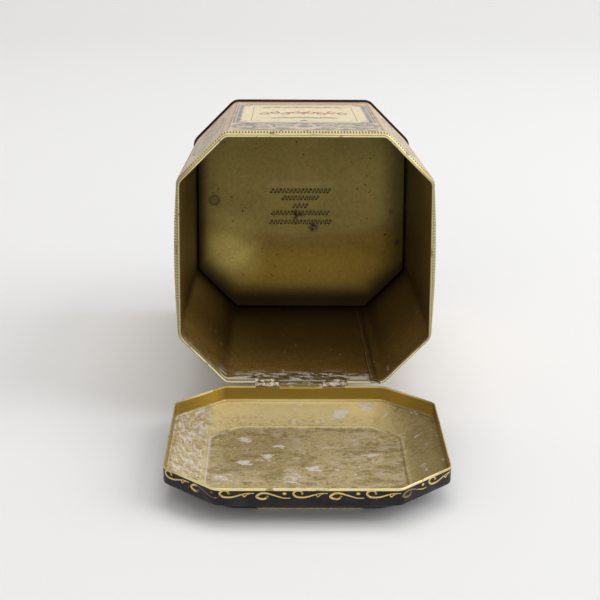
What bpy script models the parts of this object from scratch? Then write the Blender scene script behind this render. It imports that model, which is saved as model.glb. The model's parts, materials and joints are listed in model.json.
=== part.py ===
"""Octagonal lithographed tin lying on its back with its hinged lid open flat.

The body is one wrapped sheet with a necked mouth and a milled shoulder.  A
pressed base closes the far end with a seam.  The lid slips over the neck and
swings on a wire through rolled eyes behind the rear wall.

Every shape is first drawn for the closed tin in three lengths in millimetres:
x across, a along the body from the mouth edge to the base, and v up from the
outer face of the rear wall.  Two empties on the hinge axis then place it.
"""
import math

import bmesh
import bpy
from mathutils import Matrix, Vector

MM = 0.001

# Body outline, outside the wall
WIDTH = 108.0
DEPTH = 107.0
CHAMFER = 20.1
CORNER_R = 5.0
SHEET = 0.3
GAP = 0.3

# Body length, from the mouth edge
SHOULDER = 5.0
NECK_INSET = 0.85
LIP_WIDTH = 1.05
FLOOR = 154.0
BODY_LENGTH = 158.0

# Base seam
SEAM_PROUD = 1.2
SEAM_HEIGHT = 2.6

# Lid
LID_INSET = 0.1
SKIRT = 7.0
LID_DEPTH = 13.8
LEDGE_INSET = 1.7
PANEL_INSET = 15.1
PANEL_R = 4.0

# Hinge
AXIS_A = 4.85
AXIS_V = -0.9
HINGE_X = -1.5
HINGE_LENGTH = 39.0
KNUCKLE = 10.0
WIRE_R = 0.4
WIRE_OVERHANG = 0.5
EYE_R = WIRE_R + GAP + SHEET / 2
NOTCH_END = 7.0
LEAF_END = 17.0
LEAF_MARGIN = 1.5

ARC_STEPS = 5

CREAM = (0.73, 0.62, 0.44)
BLACK = (0.02, 0.018, 0.02)
GOLD = (0.46, 0.33, 0.11)
STEEL = (0.42, 0.38, 0.32)

HEM = SHOULDER - GAP
PANEL_A = HEM - LID_DEPTH


def body_tilt():
    """Angle at which the base seam reaches the table the lid lies on."""
    along = BODY_LENGTH - AXIS_A
    below = SEAM_PROUD + AXIS_V
    height = AXIS_A - PANEL_A
    reach = math.hypot(along, below)
    return math.asin(height / reach) - math.atan2(below, along)


def hinge_place():
    """World position of the hinge axis, with the bounding box centred."""
    tilt = body_tilt()
    top = DEPTH + SEAM_PROUD - AXIS_V
    back = (BODY_LENGTH - AXIS_A) * math.cos(tilt) + top * math.sin(tilt)
    front = DEPTH - LID_INSET - AXIS_V
    return Vector((0.0, (front - back) / 2, AXIS_A - PANEL_A)) * MM


def clear_scene():
    for obj in list(bpy.data.objects):
        bpy.data.objects.remove(obj, do_unlink=True)


def make_collection(name):
    collection = bpy.data.collections.new(name)
    bpy.context.scene.collection.children.link(collection)
    return collection


def make_material(name, colour, roughness, metallic):
    material = bpy.data.materials.new(name)
    material.use_nodes = True
    shader = material.node_tree.nodes["Principled BSDF"]
    shader.inputs["Base Color"].default_value = (*colour, 1.0)
    shader.inputs["Roughness"].default_value = roughness
    shader.inputs["Metallic"].default_value = metallic
    return material


def outline(inset, radius):
    """Rounded octagon, inset from the wall, as (x, v) points."""
    half_x = WIDTH / 2 - inset
    half_v = DEPTH / 2 - inset
    leg = CHAMFER - inset * (2 - math.sqrt(2))
    bevel = (half_x + half_v - leg) / math.sqrt(2)
    reach = (half_x, bevel, half_v, bevel) * 2
    step = math.pi / 4
    points = []
    for side in range(8):
        turn = side * step
        first = reach[side] - radius
        second = reach[(side + 1) % 8] - radius
        along = (second - first * math.cos(step)) / math.sin(step)
        centre_x = first * math.cos(turn) - along * math.sin(turn)
        centre_v = first * math.sin(turn) + along * math.cos(turn)
        for i in range(ARC_STEPS + 1):
            angle = turn + step * i / ARC_STEPS
            x = centre_x + radius * math.cos(angle)
            v = centre_v + radius * math.sin(angle)
            points.append((x, v + DEPTH / 2))
    return points


def place(x, a, v):
    """Closed-tin millimetres to metres from the hinge axis."""
    return Vector((x, a - AXIS_A, v - AXIS_V)) * MM


def link_mesh(name, mesh_data, parent, collection, material):
    mesh = bpy.data.meshes.new(name)
    mesh_data.normal_update()
    mesh_data.to_mesh(mesh)
    mesh_data.free()
    obj = bpy.data.objects.new(name, mesh)
    collection.objects.link(obj)
    obj.parent = parent
    if material:
        mesh.materials.append(material)
    return obj


def add_thickness(obj, offset):
    solid = obj.modifiers.new("sheet", "SOLIDIFY")
    solid.thickness = SHEET * MM
    solid.offset = offset
    solid.use_even_offset = True


def pressed_shell(name, stations, capped, parent, collection, material):
    """Sheet through octagonal rings (inset, a, radius), outer face drawn."""
    data = bmesh.new()
    rings = []
    for inset, a, radius in stations:
        rings.append([data.verts.new(place(x, a, v)) for x, v in outline(inset, radius)])
    for near, far in zip(rings, rings[1:]):
        for i, vert in enumerate(near):
            j = (i + 1) % len(near)
            data.faces.new((vert, near[j], far[j], far[i]))
    if capped:
        data.faces.new(rings[-1])
    bmesh.ops.recalc_face_normals(data, faces=data.faces)
    obj = link_mesh(name, data, parent, collection, material)
    add_thickness(obj, -1.0)
    return obj


def rolled_strip(name, path, columns, keep, parent, collection, material):
    """Sheet along a path of (a, v) middles, in columns across x."""
    data = bmesh.new()
    rows = [[data.verts.new(place(x, a, v)) for x in columns] for a, v in path]
    for row in range(len(path) - 1):
        for col in range(len(columns) - 1):
            if keep(row, col):
                corners = (rows[row][col], rows[row][col + 1])
                corners += (rows[row + 1][col + 1], rows[row + 1][col])
                data.faces.new(corners)
    loose = [vert for vert in data.verts if not vert.link_faces]
    bmesh.ops.delete(data, geom=loose, context="VERTS")
    obj = link_mesh(name, data, parent, collection, material)
    add_thickness(obj, 0.0)
    return obj


def eye_path(first, last):
    """Points round the hinge axis between two angles in degrees."""
    count = 12
    path = []
    for i in range(count + 1):
        angle = math.radians(first + (last - first) * i / count)
        path.append((AXIS_A + EYE_R * math.cos(angle), AXIS_V + EYE_R * math.sin(angle)))
    return path


def add_box(name, x_span, a_span, v_span, parent, collection):
    data = bmesh.new()
    bmesh.ops.create_cube(data, size=1.0)
    low = place(x_span[0], a_span[0], v_span[0])
    high = place(x_span[1], a_span[1], v_span[1])
    size = high - low
    middle = (high + low) / 2
    for vert in data.verts:
        vert.co = Vector([vert.co[i] * size[i] + middle[i] for i in range(3)])
    obj = link_mesh(name, data, parent, collection, None)
    obj.hide_render = True
    obj.display_type = "WIRE"
    return obj


def combine(obj, tool, operation):
    boolean = obj.modifiers.new(tool.name, "BOOLEAN")
    boolean.operation = operation
    boolean.solver = "EXACT"
    boolean.object = tool


def hinge_span(margin):
    half = HINGE_LENGTH / 2 + margin
    return (HINGE_X - half, HINGE_X + half)


def lid_tongue_span():
    half = HINGE_LENGTH / 2 - KNUCKLE - GAP
    return (HINGE_X - half, HINGE_X + half)


def make_axis(name, angle):
    empty = bpy.data.objects.new(name, None)
    bpy.context.scene.collection.objects.link(empty)
    empty.location = hinge_place()
    empty.rotation_euler = (angle, 0.0, 0.0)
    empty.empty_display_size = 0.01
    return empty


def build_body_wall(parent, parts, cutters, material):
    lip = NECK_INSET + LIP_WIDTH
    wall_end = BODY_LENGTH - SHEET - GAP
    stations = [
        (lip, 0.0, CORNER_R - lip),
        (NECK_INSET, 0.0, CORNER_R - NECK_INSET),
        (NECK_INSET, SHOULDER, CORNER_R - NECK_INSET),
        (0.0, SHOULDER, CORNER_R),
        (0.0, wall_end, CORNER_R),
    ]
    wall = pressed_shell("body_wall", stations, False, parent, parts, material)
    notch = add_box("hinge_notch", hinge_span(GAP), (-2.0, NOTCH_END), (-3.0, 6.0), parent, cutters)
    combine(wall, notch, "DIFFERENCE")
    return wall


def build_base(parent, parts, material):
    seam_start = BODY_LENGTH - SEAM_HEIGHT
    rim_inset = SHEET + GAP + SHEET
    stations = [
        (-GAP, seam_start, CORNER_R + GAP),
        (-SEAM_PROUD, seam_start, CORNER_R + SEAM_PROUD),
        (-SEAM_PROUD, BODY_LENGTH, CORNER_R + SEAM_PROUD),
        (rim_inset, BODY_LENGTH, CORNER_R - rim_inset),
        (rim_inset, FLOOR + SHEET, CORNER_R - rim_inset),
    ]
    return pressed_shell("base_panel", stations, True, parent, parts, material)


def build_lid(parent, parts, cutters, material):
    skirt_end = HEM - SKIRT
    stations = [
        (LID_INSET, HEM, CORNER_R - LID_INSET),
        (LID_INSET, skirt_end + 0.4, CORNER_R - LID_INSET),
        (LID_INSET + 0.4, skirt_end, CORNER_R - LID_INSET - 0.4),
        (LEDGE_INSET, skirt_end, CORNER_R - LEDGE_INSET),
        (PANEL_INSET, PANEL_A, PANEL_R),
    ]
    lid = pressed_shell("lid_shell", stations, True, parent, parts, material)
    relief = add_box("hem_relief", hinge_span(GAP), (HEM - 0.9, HEM + 2.0), (-3.0, 0.8), parent, cutters)
    combine(lid, relief, "DIFFERENCE")
    root = LID_INSET + SHEET + 0.05
    path = [(1.0, root), (HEM - 1.1, root), (AXIS_A - 0.35, 0.0)]
    path += eye_path(90.0, -180.0)
    tongue = rolled_strip("lid_tongue", path, lid_tongue_span(), lambda row, col: True, parent, cutters, None)
    tongue.hide_render = True
    tongue.display_type = "WIRE"
    combine(lid, tongue, "UNION")
    return lid


def build_hinge_leaf(parent, parts, material):
    """Strip inside the rear wall, with an eye rolled at each end."""
    flat = SHEET + GAP + SHEET / 2
    path = [(LEAF_END, flat), (NOTCH_END, flat), (NOTCH_END - 0.4, flat)]
    path += [(AXIS_A + 1.05, AXIS_V + EYE_R)]
    path += eye_path(90.0, 360.0)
    left, right = hinge_span(0.0)
    columns = (left - LEAF_MARGIN, left, left + KNUCKLE, right - KNUCKLE, right, right + LEAF_MARGIN)
    return rolled_strip(
        "body_hinge_leaf", path, columns, lambda row, col: row < 1 or col in (1, 3), parent, parts, material
    )


def build_wire(parent, parts, material):
    data = bmesh.new()
    length = HINGE_LENGTH + 2 * WIRE_OVERHANG
    bmesh.ops.create_cone(
        data,
        cap_ends=True,
        segments=16,
        radius1=WIRE_R * MM,
        radius2=WIRE_R * MM,
        depth=length * MM,
        matrix=Matrix.Translation((HINGE_X * MM, 0.0, 0.0)) @ Matrix.Rotation(math.pi / 2, 4, "Y"),
    )
    return link_mesh("hinge_wire", data, parent, parts, material)


def main():
    clear_scene()
    parts = make_collection("lithographed_tin")
    cutters = make_collection("cutters")
    body_axis = make_axis("body_axis", -body_tilt())
    lid_axis = make_axis("lid_axis", math.pi / 2)
    cream = make_material("printed_tinplate", CREAM, 0.45, 0.0)
    black_base = make_material("black_tinplate", BLACK, 0.4, 0.0)
    black_lid = make_material("lid_tinplate", BLACK, 0.35, 0.0)
    gold = make_material("lacquered_tinplate", GOLD, 0.4, 0.9)
    steel = make_material("wire_steel", STEEL, 0.45, 1.0)
    build_body_wall(body_axis, parts, cutters, cream)
    build_base(body_axis, parts, black_base)
    build_hinge_leaf(body_axis, parts, gold)
    build_wire(body_axis, parts, steel)
    build_lid(lid_axis, parts, cutters, black_lid)


main()
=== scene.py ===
"""Finished look of the octagonal hinged tin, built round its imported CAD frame.

Each shape is drawn for the closed tin in millimetres: x across, a along the
body from the mouth edge to the base, and v up from the rear wall's outer
face.  Two matrices on the hinge axis carry those points to the row frame.
"""
import json
import math

import bpy
import numpy as np
from mathutils import Matrix, Vector

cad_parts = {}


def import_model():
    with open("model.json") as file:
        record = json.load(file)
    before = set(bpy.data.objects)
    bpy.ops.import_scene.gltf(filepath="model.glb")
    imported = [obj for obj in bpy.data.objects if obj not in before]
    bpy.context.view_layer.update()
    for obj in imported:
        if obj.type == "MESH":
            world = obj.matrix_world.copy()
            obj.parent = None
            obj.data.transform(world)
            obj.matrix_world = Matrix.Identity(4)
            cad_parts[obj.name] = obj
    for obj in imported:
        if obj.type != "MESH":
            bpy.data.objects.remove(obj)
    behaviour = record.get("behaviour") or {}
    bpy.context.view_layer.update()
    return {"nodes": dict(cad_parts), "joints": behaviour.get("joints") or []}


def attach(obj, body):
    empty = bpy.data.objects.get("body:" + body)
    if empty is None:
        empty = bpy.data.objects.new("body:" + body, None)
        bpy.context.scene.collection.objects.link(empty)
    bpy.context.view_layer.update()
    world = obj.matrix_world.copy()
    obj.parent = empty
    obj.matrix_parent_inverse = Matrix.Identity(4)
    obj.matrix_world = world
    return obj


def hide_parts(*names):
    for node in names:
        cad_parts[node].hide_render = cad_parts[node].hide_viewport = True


MM = 0.001

# Body outline and sheet, as in the CAD
WIDTH = 108.0
DEPTH = 107.0
MIDDLE = DEPTH / 2
CHAMFER = 20.1
CORNER_R = 5.0
SHEET = 0.3
GAP = 0.3

# Growth of a panel's corner radius with its inset; an outline past the
# deepest inset is the deepest one, shrunk toward the middle
CORNER_EASE = 0.052
DEEPEST = 24.0

# Shoulder, neck, lip, base and seam; lengths run from the mouth edge
SHOULDER = 5.0
NECK_INSET = 0.85
LIP_R = 0.5
FLOOR = 154.0
BODY_LENGTH = 158.0
SEAM_PROUD = 1.2
SEAM_HEIGHT = 2.6
SEAM_R = 0.6

# Outward bow of the walls, and where it rises and dies away
MOUTH_BOW = 0.15
SIDE_BOW = 1.2
FRONT_BOW_SHARE = 0.16
BOW_RISE = (4.95, 9.0)
BOW_FALL = (70.0, BODY_LENGTH - 6.0)
WALL_BAND = 2.5

# Milled teeth round the shoulder, four mesh steps to a tooth
TOOTH_PITCH = 1.27
TOOTH_DEPTH = 0.25
TEETH_RISE = (4.9, 5.3)
TEETH_FALL = (8.2, 8.9)

# Lid
LID_INSET = 0.1
HEM = SHOULDER - GAP
HEM_R = 0.3
SKIRT = 7.0
LID_DEPTH = 13.8
LEDGE_INSET = 1.7
LEDGE_R = 1.1
LEDGE_INNER_R = 0.8
PANEL_INSET = 15.1
PANEL_FOLD = 13.3
FOOT_LINE = (-18.4, 20.4)
PANEL_A = HEM - LID_DEPTH
WAVE_START = -32.2
WAVE_PITCH = 13.3

# Chalky patches inside the lid: x, v, reach, softness
LID_PATCHES = (
    (-26, 29, 3.0, 2.5), (-15, 46, 3.6, 2.6), (-24.6, 52, 3.2, 2.5), (3, 58, 3.4, 2.4), (25, 43, 3.0, 2.4),
    (-11, 35, 2.4, 2.0), (-6, 67, 4.2, 3.0), (15, 8.7, 3.0, 1.6), (26, 3.5, 3.6, 1.6), (-31, 66, 3.4, 3.0),
)

# Hinge
AXIS_A = 4.85
AXIS_V = -0.9
HINGE_X = -1.5
HINGE_LENGTH = 39.0
KNUCKLE = 10.0
EYE_R = 0.85
NOTCH_END = 7.0
LEAF_END = 17.0
LEAF_MARGIN = 1.5

# Base panel: its dish, ring stain, and rows of studs as (middle, width)
DISH_DEPTH = 1.7
DISH_SPAN = (7.0, 35.0)
RING_STAIN = (-44.7, 56.7)
STUD_ROWS = ((61.6, 31.0), (57.9, 19.0), (53.8, 8.0), (50.1, 30.0), (45.4, 32.0))
STUD_X = -0.5
STUD_STAGGER = 2.3 / 3.6
STUD_PITCH = 1.9
STUD_R = 0.56
STUD_HEIGHT = 0.36
STUD_SIDES = 12

# Lap of the wrapped sheet, inside the rear wall
LAP_X = 28.4
LAP_WIDTH = 3.1
LAP_RISE = 0.16
LAP_START = 1.4

# Prints: mesh step, lift off the surface and gap between inks
PRINT_STEP = 3.0
INK_LIFT = 0.02
INK_LAYER = 0.012

# Camera and framing
CAMERA_AIM = (-2.1, -27.0, 51.66)
CAMERA_DISTANCE = 643.0
CAMERA_AZIMUTH = 0.66
CAMERA_ELEVATION = 17.13
CAMERA_ROLL = 0.34
CAMERA_LENS = 91.73

# Stage in metres; a light is name, place, target, size, power and colour
FLOOR_REACH = 14.0
BACKDROP_Y = 2.2
BACKDROP_BEND = 1.0
WORLD_COLOUR = (1.0, 0.975, 0.92)
WORLD_STRENGTH = 0.62
LIGHTS = (
    ("key", (1.8, -0.25, 1.2), (0, 0, 0.03), (1.8, 1.8), 26, (0.97, 0.98, 1.0)),
    ("top", (0.2, 0.7, 1.9), (0, -0.03, 0.03), (1.6, 1.0), 13, (0.98, 0.99, 1.0)),
    ("front", (-0.1, -1.9, 0.7), (0, 0.1, 0.06), (1.2, 0.4), 4, (1, 1, 1)),
)

# Linear colours
LITHO_CREAM = (0.56, 0.47, 0.34)
CREAM_WARM = (0.60, 0.49, 0.35)
CREAM_HAZE = (0.42, 0.40, 0.42)
CREAM_SCUFF = (0.25, 0.2, 0.15)
LITHO_PALE = (0.76, 0.66, 0.42)
LITHO_PEACH = (0.66, 0.34, 0.13)
LITHO_BLUE = (0.19, 0.185, 0.235)
LITHO_RED = (0.38, 0.11, 0.08)
LITHO_GREEN = (0.22, 0.24, 0.18)
LACQUER_DARK = (0.13, 0.080, 0.045)
LACQUER_BROWN = (0.20, 0.12, 0.045)
# lacquer as lit near the mouth and on the left wall: painted light
LACQUER_LIT = (0.76, 0.50, 0.13)
LACQUER_OLIVE = (0.275, 0.218, 0.064)
# painted reflection: warmer gold of the lower base panel
REFLECTION_GOLD = (0.25, 0.165, 0.026)
# painted light on the base panel's left
LIT_PATCH_GOLD = (0.72, 0.61, 0.19)
# painted highlight above the embossed rows
EMBOSS_HIGHLIGHT = (0.36, 0.29, 0.12)
# painted shade at the base panel's edges, also used for a faint random mottle
LACQUER_SHADE_AND_MOTTLE = (0.017, 0.010, 0.004)
# painted shade on the lid skirt's inner face
SKIRT_IN_SHADE = (0.38, 0.265, 0.048)
LACQUER_GOLD = (0.95, 0.78, 0.38)
HINGE_DARK = (0.24, 0.17, 0.06)
HINGE_GOLD = (0.46, 0.36, 0.14)
RIM_GOLD = (0.86, 0.71, 0.28)
RIM_PALE = (0.76, 0.70, 0.42)
RIM_SHADE = (0.24, 0.18, 0.08)
# painted highlight along the lap's edge
SEAM_HIGHLIGHT = (0.62, 0.46, 0.24)
JAPAN_BLACK = (0.010, 0.009, 0.011)
BLACK_DUST = (0.028, 0.024, 0.026)
BLACK_CHIP = (0.20, 0.15, 0.09)
INK_GOLD = (0.72, 0.50, 0.16)
INK_WORN = (0.05, 0.04, 0.03)
FADED_LINE = (0.66, 0.54, 0.32)
RESIDUE = (0.46, 0.355, 0.20)
RESIDUE_PALE = (0.60, 0.50, 0.37)
KNUCKLE_BROWN = (0.20, 0.145, 0.06)
FOLD_SHADE = (0.12, 0.08, 0.03)
CHALK = (0.68, 0.62, 0.56)
CHALK_WALL = (0.93, 0.85, 0.77)
# olive stains; also painted shade on the lid's right bevel
OLIVE_STAIN_AND_SHADE = (0.23, 0.165, 0.045)
RUST = (0.075, 0.035, 0.016)
TARNISH = (0.02, 0.016, 0.010)
# studs lighter than the floor: painted light on their tops
STUD_LIT_OLIVE = (0.34, 0.27, 0.10)
# painted shadow under the studs
STUD_SHADOW = (0.07, 0.046, 0.016)
WIRE_STEEL = (0.42, 0.37, 0.28)
FLOOR_COLOUR = (0.80, 0.80, 0.81)


# Geometry


def smooth_step(value, low, high):
    part = np.clip((value - low) / (high - low), 0, 1)
    return part * part * (3 - 2 * part)


def even_steps(length, spacing):
    """Whole mesh steps in a length, a multiple of four so teeth stay whole."""
    return max(4, 4 * round(length / spacing / 4))


def corner_radius(inset):
    """Corner radius that follows the sheet, then eases to the panel's."""
    if inset <= LEDGE_INSET:
        return CORNER_R - inset
    return CORNER_R - LEDGE_INSET + CORNER_EASE * (inset - LEDGE_INSET)


def outline(inset, spacing):
    """Rounded octagon as an array of (x, v); every inset has equal counts."""
    if inset > DEEPEST:
        part = (WIDTH / 2 - inset) / (WIDTH / 2 - DEEPEST)
        middle = np.array([0.0, DEPTH / 2])
        return middle + (outline(DEEPEST, spacing) - middle) * part
    radius = corner_radius(inset)
    half_x = WIDTH / 2 - inset
    half_v = DEPTH / 2 - inset
    leg = CHAMFER - inset * (2 - math.sqrt(2))
    bevel = (half_x + half_v - leg) / math.sqrt(2)
    reach = (half_x, bevel, half_v, bevel) * 2
    trim = 2 * CORNER_R * math.tan(math.pi / 8)
    flats = (WIDTH - 2 * CHAMFER - trim, CHAMFER * math.sqrt(2) - trim)
    turn_step = math.pi / 4
    arc_steps = even_steps(CORNER_R * turn_step, spacing)
    arcs = []
    for side in range(8):
        turn = side * turn_step
        first = reach[side] - radius
        second = reach[(side + 1) % 8] - radius
        along = (second - first * math.cos(turn_step)) / math.sin(turn_step)
        centre = np.array([
            first * math.cos(turn) - along * math.sin(turn),
            first * math.sin(turn) + along * math.cos(turn),
        ])
        angles = turn + turn_step * np.arange(arc_steps + 1) / arc_steps
        arcs.append(centre + radius * np.stack([np.cos(angles), np.sin(angles)], 1))
    points = []
    for side in range(8):
        start = arcs[side][-1]
        end = arcs[(side + 1) % 8][0]
        count = even_steps(flats[(side + 1) % 2], spacing)
        part = (np.arange(1, count) / count)[:, None]
        points += [arcs[side], start + (end - start) * part]
    points = np.concatenate(points)
    points[:, 1] += DEPTH / 2
    return points


def slack(x, v, a):
    """Small outward bow of the wide walls, most of it behind the shoulder."""
    a = np.asarray(a, float)
    amount = MOUTH_BOW + SIDE_BOW * smooth_step(a, *BOW_RISE)
    amount = amount * (1 - smooth_step(a, *BOW_FALL))
    across = np.clip(1 - ((v - MIDDLE) / (MIDDLE - CHAMFER)) ** 2, 0, 1)
    upright = np.clip(1 - (x / (WIDTH / 2 - CHAMFER)) ** 2, 0, 1)
    x_shift = np.where(np.abs(x) > WIDTH / 2 - WALL_BAND, np.sign(x) * across * amount, 0)
    v_shift = np.where(v - MIDDLE > MIDDLE - WALL_BAND, upright * amount * FRONT_BOW_SHARE, 0)
    return x + x_shift, v + v_shift


def arc(inset, a, radius, first, last, steps):
    """Points (inset, a) round a centre between two angles in degrees."""
    angles = np.radians(np.linspace(first, last, steps + 1))
    return [(inset + radius * math.cos(t), a + radius * math.sin(t)) for t in angles]


def sweep(profile, spacing, bowed=False, teeth=None):
    """Rings of points for a profile of (inset, a) round the octagon."""
    rings = []
    for i, (inset, a) in enumerate(profile):
        flat = outline(inset, spacing)
        if teeth is not None and teeth[i]:
            bite = np.array([0.0, 0.5, 1.0, 0.5])[np.arange(len(flat)) % 4] * teeth[i]
            inner = outline(inset + TOOTH_DEPTH, spacing)
            flat = flat + (inner - flat) * bite[:, None]
        x, v = flat[:, 0], flat[:, 1]
        if bowed:
            x, v = slack(x, v, a)
        rings.append(np.stack([x, np.full(len(x), a), v], 1))
    return rings


def grid(rows, columns):
    """Quads that join points laid out in rows."""
    return [
        (k + i, k + i + 1, k + i + columns + 1, k + i + columns)
        for k in range(0, (rows - 1) * columns, columns)
        for i in range(columns - 1)
    ]


def add_object(name, points, faces, materials, slots=None, smooth=True):
    """Mesh object from closed-tin millimetres, with a slot for each face."""
    mesh = bpy.data.meshes.new(name)
    mesh.from_pydata([tuple(p) for p in np.asarray(points) * MM], [], faces)
    for material in materials:
        mesh.materials.append(material)
    if slots is not None:
        mesh.polygons.foreach_set("material_index", slots)
    mesh.polygons.foreach_set("use_smooth", [smooth] * len(mesh.polygons))
    mesh.update()
    obj = bpy.data.objects.new(name, mesh)
    bpy.context.scene.collection.objects.link(obj)
    return obj


def loft(name, rings, zones, materials, open_strip=None, caps=(), notch=None):
    """Quads between successive rings of one closed profile.

    zones gives each strip's slot.  open_strip is left out and its two rings
    are filled to their centres by caps.  notch is (first ring, last ring,
    first column, last column) and is cut out with its edges closed.
    """
    count = len(rings[0])
    faces = []
    slots = []
    for k in range(len(rings)):
        if k == open_strip:
            continue
        low = k * count
        high = (k + 1) % len(rings) * count
        for i in range(count):
            if notch and notch[0] <= k < notch[1] and notch[2] <= i < notch[3]:
                continue
            j = (i + 1) % count
            faces.append((low + i, low + j, high + j, high + i))
            slots.append(zone_of(zones[k], i))
    points = np.concatenate(rings)
    for ring, centre, zone, flip in caps:
        points = np.vstack([points, centre])
        tip = len(points) - 1
        for i in range(count):
            pair = (ring * count + i, ring * count + (i + 1) % count)
            faces.append((*(reversed(pair) if flip else pair), tip))
            slots.append(zone)
    if notch:
        first, last, left, right = notch
        side = [k % len(rings) * count for k in range(first, last + 1)]
        for i in range(left, right):
            faces.append((side[0] + i, side[0] + i + 1, side[-1] + i + 1, side[-1] + i))
            slots.append(zone_of(zones[first], 0))
        faces.append(tuple(k + left for k in side))
        faces.append(tuple(k + right for k in reversed(side)))
        slots += [zone_of(zones[first], 0)] * 2
    return add_object(name, points, faces, materials, slots)


def zone_of(zone, column):
    """A strip's slot, or its (ridge, valley) pair where the sheet is milled."""
    return zone if isinstance(zone, int) else zone[column % 4 in (1, 2)]


def notch_columns(ring):
    """First and last column of the rear wall's hinge notch on one ring."""
    half = HINGE_LENGTH / 2 + GAP
    rear = np.nonzero((ring[:, 2] < 4) & (np.abs(ring[:, 0] - HINGE_X) < half))[0]
    return int(rear.min()), int(rear.max())


def crease(obj):
    """Sharp edges where the sheet is folded."""
    obj.data.set_sharp_from_angle(angle=math.radians(35))
    return obj


def stand(obj, matrix, body, node=None):
    """Sets a piece in the row frame on its body, in place of a CAD node."""
    obj.matrix_world = matrix
    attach(obj, body)
    if node:
        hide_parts(node)


class Wrap:
    """Distance s round the octagon, from the middle of the front wall."""

    def __init__(self, inset, bowed):
        self.bowed = bowed
        loop = outline(inset, 0.6)[::-1]
        front = np.argmin(np.abs(loop[:, 0]) + 10 * (loop[:, 1] < DEPTH - 3))
        loop = np.roll(loop, -front, axis=0)
        self.loop = np.vstack([loop, loop[:1]])
        step = np.hypot(*np.diff(self.loop, axis=0).T)
        self.length = np.concatenate([[0], np.cumsum(step)])
        self.total = self.length[-1]

    def at(self, flat):
        s = flat[:, 0] % self.total
        x = np.interp(s, self.length, self.loop[:, 0])
        v = np.interp(s, self.length, self.loop[:, 1])
        if self.bowed:
            x, v = slack(x, v, flat[:, 1])
        return np.stack([x, flat[:, 1], v], 1)

    def middle(self, side):
        """Distance to the middle of one of the eight sides, 0 at the front."""
        return self.total * side / 8


class Plate:
    """Flat lay on a panel square to the body's length: s is x, t is v."""

    def __init__(self, a):
        self.a = a

    def at(self, flat):
        return np.stack([flat[:, 0], np.full(len(flat), self.a), flat[:, 1]], 1)


class Print:
    """Flat ink shapes in (s, t), laid on a surface when they are made."""

    def __init__(self):
        self.points = []
        self.faces = []

    def band(self, left, right, closed=False):
        """Quads between two paths of equal length."""
        base = len(self.points)
        self.points += [tuple(p) for p in left] + [tuple(p) for p in right]
        count = len(left)
        for i in range(count if closed else count - 1):
            j = (i + 1) % count
            self.faces.append((base + i, base + j, base + count + j, base + count + i))

    def stroke(self, path, widths, closed=False):
        """Line of changing width along a path."""
        path = np.asarray(path, float)
        widths = np.broadcast_to(np.asarray(widths, float), (len(path),))
        ahead = np.roll(path, -1, axis=0)
        behind = np.roll(path, 1, axis=0)
        if not closed:
            ahead[-1] = path[-1]
            behind[0] = path[0]
        way = ahead - behind
        way /= np.maximum(np.hypot(way[:, 0], way[:, 1]), 1e-9)[:, None]
        side = np.stack([-way[:, 1], way[:, 0]], 1) * (widths / 2)[:, None]
        self.band(path + side, path - side, closed)

    def pen(self, path, *shape):
        """Stroke whose width comes from taper()."""
        self.stroke(path, taper(len(path), *shape))

    def curl(self, place, x, flip, turn, *shape):
        """Pen curl beside a place; turn is its radius, turns, start and squash."""
        radius, turns, start, squash = turn
        self.pen(spiral(flip * x, 0, radius, turns, start, flip, squash) + place, *shape)

    def dot(self, s, t, reach_s, reach_t=None):
        """Filled oval."""
        reach_t = reach_t or reach_s
        base = len(self.points)
        angles = np.arange(16) * math.tau / 16
        self.points += [(s + reach_s * math.cos(q), t + reach_t * math.sin(q)) for q in angles]
        self.faces.append(tuple(range(base, base + 16)))

    def sheet(self, s_span, t_span):
        """Filled rectangle, split so that it follows the wall's bow."""
        (s0, s1), (t0, t1) = s_span, t_span
        columns = max(1, round((s1 - s0) / PRINT_STEP))
        rows = max(1, round((t1 - t0) / (2 * PRINT_STEP)))
        before = None
        for r in range(rows + 1):
            t = t0 + (t1 - t0) * r / rows
            row = [(s0 + (s1 - s0) * c / columns, t) for c in range(columns + 1)]
            if before:
                self.band(before, row)
            before = row

    def frame(self, s_span, t_span, width, notch=0.0):
        """Line round a rectangle whose corners step in by the notch."""
        (s0, s1), (t0, t1) = s_span, t_span
        left, right, low, high = s0 + notch, s1 - notch, t0 + notch, t1 - notch
        corners = [(s0, t0), (s1, t0), (s1, t1), (s0, t1)]
        if notch:
            corners = [(left, t0), (right, t0), (right, low), (s1, low), (s1, high), (right, high)]
            corners += [(right, t1), (left, t1), (left, high), (s0, high), (s0, low), (left, low)]
        for i, start in enumerate(corners):
            end = corners[(i + 1) % len(corners)]
            count = max(2, round(math.dist(start, end) / PRINT_STEP) + 1)
            path = np.linspace(start, end, count)
            way = (path[-1] - path[0]) / max(math.dist(start, end), 1e-9)
            path[0] -= way * width / 2
            path[-1] += way * width / 2
            self.stroke(path, width)

    def lay(self, name, surface, material, matrix, body, slot):
        """Makes the piece on its surface."""
        points = surface.at(np.asarray(self.points, float))
        stand(add_object(name, points, self.faces, [material]), matrix, body)


def curve(points, steps=6):
    """Smooth path through points."""
    p = np.asarray(points, float)
    p = np.vstack([2 * p[0] - p[1], p, 2 * p[-1] - p[-2]])
    t = (np.arange(steps) / steps)[:, None]
    parts = []
    for i in range(1, len(p) - 2):
        a, b, c, d = p[i - 1], p[i], p[i + 1], p[i + 2]
        bend = 2 * a - 5 * b + 4 * c - d
        twist = 3 * b - a - 3 * c + d
        parts.append(0.5 * (2 * b + (c - a) * t + bend * t**2 + twist * t**3))
    return np.vstack(parts + [p[-2:-1]])


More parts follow.
